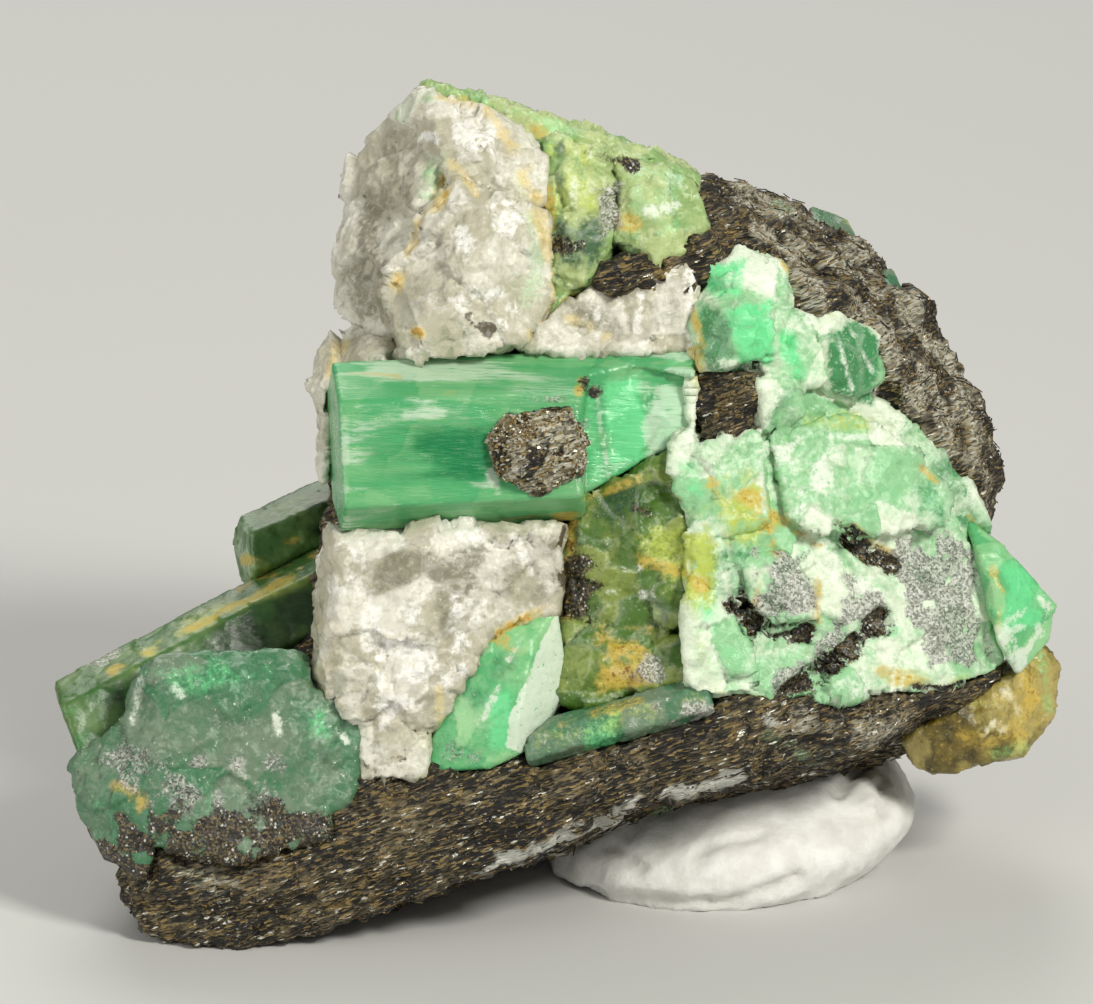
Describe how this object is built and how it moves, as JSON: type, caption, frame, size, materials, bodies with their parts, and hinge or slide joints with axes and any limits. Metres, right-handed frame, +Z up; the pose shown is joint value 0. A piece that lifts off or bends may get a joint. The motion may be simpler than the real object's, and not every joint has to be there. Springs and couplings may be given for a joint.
{
  "type": "emerald specimen",
  "caption": "Emerald in matrix: green hexagonal beryl prisms and broken beryl with milky quartz in dark mica schist, propped up for display on a pressed lump of white putty.",
  "frame": {"origin": "on the ground under the middle of the whole specimen", "axes": "+X to the right as the shown face is looked at, +Y away from the viewer, +Z up"},
  "size_m": [0.081, 0.0482, 0.0645],
  "materials": {
    "green_emerald": "clear to frosted green crystal, glassy",
    "dark_emerald": "dull dark green crystal, waxy",
    "pale_emerald": "pale shattered green crystal, sugary",
    "quartz": "milky, broken, glassy",
    "mica_schist": "dark, flaky, glittering",
    "rusty_rock": "earthy iron-stained coat",
    "putty": "matt white putty, kneaded"
  },
  "bodies": {
    "root": {"emerald_main_prism": "green_emerald", "mica_scab": "mica_schist", "emerald_long_prism": "dark_emerald", "emerald_short_prism": "dark_emerald", "emerald_stub": "dark_emerald", "emerald_wedge": "green_emerald", "emerald_strip": "pale_emerald", "emerald_tip": "green_emerald", "emerald_broken_mass": "pale_emerald", "emerald_recess": "dark_emerald", "emerald_cap": "pale_emerald", "emerald_upper_knob": "dark_emerald", "emerald_lower_knob": "dark_emerald", "quartz_crown": "quartz", "quartz_block": "quartz", "quartz_seam": "quartz", "rusty_lump": "rusty_rock", "schist": "mica_schist", "putty": "putty"}
  },
  "joints": []
}
